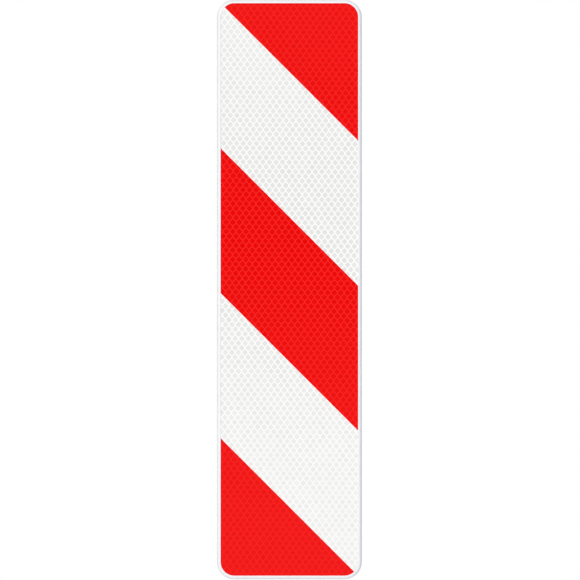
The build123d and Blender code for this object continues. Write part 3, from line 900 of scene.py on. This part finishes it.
# %% [markdown]
# ## Threads
# A thread is one profile that climbs a pitch with every turn. A bump map would leave its outline
# straight, and the bolts' tips stand free, so it is cut in the mesh. Its points lie on a grid of rows
# along the axis and steps round it, sheared so that a full turn arrives one pitch higher and joins the
# row that lies there. The ends of the helix are cut off square with a bisecting plane, and the tip tapers
# so that a nut can find its start.

# %% Threads
THREAD_RADIUS = 4.0
THREAD_PITCH = 1.25
THREAD_DEPTH = 0.65
THREAD_STEPS = 32
TIP_CHAMFER = 0.8
CORE_RADIUS = 1.0
# Shares of the pitch with their depth below the crest: a flat root, a flank and a narrow crest
THREAD_PROFILE = [(0.0, THREAD_DEPTH), (0.25, THREAD_DEPTH), (0.5625, 0.0), (0.6875, 0.0)]


def thread_rows(part, low, high, start, tip):
    """Rows of points along the helix, which runs past both ends. Beyond the tip they close in to a core."""
    away = 1 if tip > start else -1
    rows = []
    for turn_number in range(-2, math.ceil((high - low) / THREAD_PITCH) + 2):
        for share, depth in THREAD_PROFILE:
            row = []
            for step in range(THREAD_STEPS):
                angle = 2 * math.pi * step / THREAD_STEPS
                height = low + THREAD_PITCH * (turn_number + share + step / THREAD_STEPS)
                taper = THREAD_RADIUS - TIP_CHAMFER + (tip - height) * away
                radius = max(min(THREAD_RADIUS - depth, taper), CORE_RADIUS)
                row.append(part.verts.new((radius * math.cos(angle), radius * math.sin(angle), height)))
            rows.append(row)
    return rows


def thread(mesh, start, tip):
    """An M8 thread along Z from start to its tapered tip, which may lie above or below."""
    part = bmesh.new()
    low, high = min(start, tip), max(start, tip)
    rows = thread_rows(part, low, high, start, tip)
    for index in range(len(rows) - 1 - len(THREAD_PROFILE)):
        for step in range(THREAD_STEPS):
            after = (step + 1) % THREAD_STEPS
            climb = len(THREAD_PROFILE) if after == 0 else 0
            part.faces.new((
                rows[index][step], rows[index + climb][after],
                rows[index + 1 + climb][after], rows[index + 1][step],
            ))
    for height, outward in ((low, -1), (high, 1)):
        bmesh.ops.bisect_plane(
            part, geom=part.verts[:] + part.edges[:] + part.faces[:],
            plane_co=(0, 0, height), plane_no=(0, 0, outward), clear_outer=True, dist=SAME_POINT,
        )
        cut = [edge for edge in part.edges if all(abs(v.co.z - height) < SAME_POINT for v in edge.verts)]
        bmesh.ops.contextual_create(part, geom=cut)
    add_part(mesh, part)


def add_part(mesh, part):
    """Copies one bmesh into another and frees it."""
    carrier = bpy.data.meshes.new("carrier")
    part.to_mesh(carrier)
    part.free()
    mesh.from_mesh(carrier)
    bpy.data.meshes.remove(carrier)


print("thread:", THREAD_PITCH, "mm pitch,", THREAD_DEPTH, "mm deep")

# %% [markdown]
# ## Hammer-head bolts
# The head of a hammer-head bolt drops into the rail's slot and turns a quarter, and its flat neck then
# fills the slot and keeps it from turning on. Head and neck are forged, so their edges are round. They
# could be carved from the shank's rings, but a block that is stretched to size and bevelled has those
# edges at once. The shank is threaded to its tip. The CAD bolts give the places: their box ends at the
# head's front and at the tip.

# %% Hammer-head bolts
HEAD_SIZE = (13, 29, 5)
NECK_SIZE = (8, 13, 2.5)
FORGED_EDGE = 0.6


def forged_block(mesh, size, bottom):
    """A block with rounded edges, centred on the Z axis, that stands on the height bottom."""
    part = bmesh.new()
    bmesh.ops.create_cube(part, size=1.0)
    bmesh.ops.scale(part, vec=size, verts=part.verts)
    bmesh.ops.translate(part, vec=(0, 0, bottom + size[2] / 2), verts=part.verts)
    bmesh.ops.bevel(part, geom=part.edges[:], offset=FORGED_EDGE, segments=3, profile=0.5, affect="EDGES")
    add_part(mesh, part)


def nut_axis(level, side):
    """Where the axis of a nut, and so of its bolt, crosses the plane of the nut's front face."""
    joint = f"{level}_nut_{side}_turn"
    return Vector(next(item["pos_m"] for item in frame["joints"] if item["name"] == joint))


for level in ("lower", "upper"):
    node = f"{level}_bolts"
    low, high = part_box(node)
    seat = low.y / MM + HEAD_SIZE[2]
    mesh = bmesh.new()
    for side in ("left", "right"):
        first_vertex = len(mesh.verts)
        axis = nut_axis(level, side)
        forged_block(mesh, HEAD_SIZE, -HEAD_SIZE[2])
        forged_block(mesh, NECK_SIZE, 0)
        thread(mesh, NECK_SIZE[2], high.y / MM - seat)
        set_along_y(mesh, first_vertex, axis.x, seat * MM, axis.z)
    name = f"{level}_hammer_head_bolts"
    bolts = finished_piece(mesh, name, node, f"{level}_clamp", [stainless], smooth_angle=35)
    print(bolts.name, len(bolts.data.polygons), "faces")

# %% [markdown]
# ## Nuts
# A hexagon nut is turned to a cone on both faces, and the cone cuts the hexagon's corners off in shallow
# arcs. A Boolean of a cone and a hexagon would leave long thin triangles. The ring function gives the
# arcs for free: where the cone lies inside the hexagon the cone wins. The bore stays smooth and clears
# the bolt's thread, because a nut turns along the thread when the clamp is loosened.

# %% Nuts
NUT_WIDTH = 13.0
NUT_HEIGHT = 6.5
BORE_RADIUS = 4.06
BORE_MOUTH = 4.5
CONE_START = 6.2
CONE_DROP = math.tan(math.radians(30))
CONE_RINGS = 5


def nut_rings():
    """A nut's rings, from its front face up its side and back through its bore."""
    flat = hexagon(NUT_WIDTH)
    corner = flat(math.pi / 6)
    depth = (corner - CONE_START) * CONE_DROP
    lower, upper = [], []
    for step in range(CONE_RINGS + 1):
        height = depth * step / CONE_RINGS
        reach = CONE_START + height / CONE_DROP

        def clipped(angle, reach=reach):
            return min(flat(angle), reach)
        lower.append(ring(clipped, height))
        upper.insert(0, ring(clipped, NUT_HEIGHT - height))
    mouth = BORE_MOUTH - BORE_RADIUS
    bore = [ring(BORE_MOUTH, NUT_HEIGHT), ring(BORE_RADIUS, NUT_HEIGHT - mouth), ring(BORE_RADIUS, mouth)]
    return lower + upper + bore + [ring(BORE_MOUTH, 0)]


for level in ("lower", "upper"):
    for side in ("left", "right"):
        node = f"{level}_nut_{side}"
        axis = nut_axis(level, side)
        mesh = bmesh.new()
        skin(mesh, nut_rings(), closed_round=True)
        set_along_y(mesh, 0, axis.x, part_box(node)[0].y, axis.z)
        nut = finished_piece(mesh, f"{level}_hex_nut_{side}", node, node, [stainless], smooth_angle=25)
print("4 nuts,", len(nut.data.polygons), "faces each")

# %% [markdown]
# ## Claw screws
# The claws are held by socket head screws. Their heads are knurled so that fingers can start them, and
# have a hexagon socket for a key. A displaced texture would smear the fine knurl, so it is a ring whose
# points lie in and out by turns, and the socket is a stack of hexagon rings that goes down instead of up.

# %% Claw screws
SCREW_HEAD_RADIUS = 6.5
SCREW_HEAD_HEIGHT = 8.0
KNURL_DEPTH = 0.25
KNURL_START = 0.6
KNURL_RUNOUT = 0.4
FOOT_CHAMFER = 0.3
HEAD_EDGE = 0.8
SOCKET_WIDTH = 6.0
SOCKET_DEPTH = 4.0
SOCKET_CHAMFER = 0.3
DRILL_DEPTH = 1.2
DRILL_TIP = 0.4


def knurl(angle):
    """The radius of a knurled head."""
    step = round(angle / (2 * math.pi) * RING_STEPS)
    return SCREW_HEAD_RADIUS - KNURL_DEPTH * (step % 2)


def screw_head_rings():
    """A socket head's rings, up its side, over its rounded edge and down into the socket."""
    waist = SCREW_HEAD_RADIUS - KNURL_DEPTH
    top = SCREW_HEAD_HEIGHT
    rings = [ring(waist - FOOT_CHAMFER, 0), ring(waist, FOOT_CHAMFER)]
    rings += [ring(knurl, KNURL_START), ring(knurl, top - HEAD_EDGE - KNURL_RUNOUT)]
    for degrees in (0, 30, 60, 90):
        slope = math.radians(degrees)
        radius = waist - HEAD_EDGE * (1 - math.cos(slope))
        rings.append(ring(radius, top - HEAD_EDGE * (1 - math.sin(slope))))
    socket = hexagon(SOCKET_WIDTH)
    mouth = hexagon(SOCKET_WIDTH + 2 * SOCKET_CHAMFER)
    rings += [ring(mouth, top), ring(socket, top - SOCKET_CHAMFER), ring(socket, top - SOCKET_DEPTH)]
    return rings + [ring(DRILL_TIP, top - SOCKET_DEPTH - DRILL_DEPTH)]


for level in ("lower", "upper"):
    node = f"{level}_claw_screws"
    low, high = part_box(node)
    seat = high.y / MM - SCREW_HEAD_HEIGHT
    mesh = bmesh.new()
    for side in (-1, 1):
        first_vertex = len(mesh.verts)
        skin(mesh, screw_head_rings())
        thread(mesh, 0, low.y / MM - seat)
        x = side * (high.x - SCREW_HEAD_RADIUS * MM)
        set_along_y(mesh, first_vertex, x, seat * MM, (low.z + high.z) / 2)
    name = f"{level}_socket_screws"
    screws = finished_piece(mesh, name, node, f"{level}_rail", [stainless], smooth_angle=35)
    print(screws.name, len(screws.data.polygons), "faces")

# %% [markdown]
# ## Blind rivets
# Four blind rivets hold the plate that joins the frame's two ends. A blind rivet has a domed flange with
# the stub of its pulled mandrel in the middle, and behind the sheet its shank has swollen. It is round
# all over, so an outline could be spun round its axis, but the rings are at hand, and one pile of them
# makes it: a sine gives the swollen tail and an arc the dome.

# %% Blind rivets
RIVET_SHANK_RADIUS = 1.6
TAIL_LENGTH = 2.4
TAIL_BULGE = 0.7
TAIL_STEPS = 8
RIVET_HEAD_RADIUS = 3.2
RIVET_HEAD_HEIGHT = 1.2
FLANGE_EDGE = 0.15
DOME_STEPS = 6
MANDREL_HOLE = 0.95
MANDREL_RADIUS = 0.75
MANDREL_SINK = 0.5
MANDREL_BREAK = 0.15
PITCHES_FROM_MIDDLE = (-1.5, -0.5, 0.5, 1.5)


def rivet_rings(grip):
    """A set rivet's rings, from its swollen tail through the shank to the flange and the mandrel's stub."""
    spots = []
    for step in range(TAIL_STEPS + 1):
        share = step / TAIL_STEPS
        swelling = TAIL_BULGE * math.sin(math.pi * share)
        spots.append((RIVET_SHANK_RADIUS + swelling, TAIL_LENGTH * (share - 1)))
    spots += [(RIVET_SHANK_RADIUS, grip), (RIVET_HEAD_RADIUS, grip)]
    for step in range(DOME_STEPS + 1):
        slope = math.acos(MANDREL_HOLE / RIVET_HEAD_RADIUS) * step / DOME_STEPS
        rise = (RIVET_HEAD_HEIGHT - FLANGE_EDGE) * math.sin(slope)
        spots.append((RIVET_HEAD_RADIUS * math.cos(slope), grip + FLANGE_EDGE + rise))
    top = grip + RIVET_HEAD_HEIGHT
    spots += [(MANDREL_HOLE, top - MANDREL_SINK), (MANDREL_RADIUS, top - MANDREL_SINK)]
    spots += [(MANDREL_RADIUS, top - MANDREL_BREAK), (MANDREL_RADIUS - MANDREL_BREAK, top)]
    return [ring(*spot) for spot in spots]


node = "frame_joint_rivets"
low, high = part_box(node)
grip = (high.y - low.y) / MM - TAIL_LENGTH - RIVET_HEAD_HEIGHT
pitch = (high.x - RIVET_HEAD_RADIUS * MM) / PITCHES_FROM_MIDDLE[-1]
mesh = bmesh.new()
for pitches in PITCHES_FROM_MIDDLE:
    first_vertex = len(mesh.verts)
    skin(mesh, rivet_rings(grip))
    set_along_y(mesh, first_vertex, pitches * pitch, low.y + TAIL_LENGTH * MM, (low.z + high.z) / 2)
rivets = finished_piece(mesh, "blind_rivets", node, "panel", [rivet_aluminium], smooth_angle=35)
print(rivets.name, "at a pitch of", round(pitch / MM, 2), "mm")
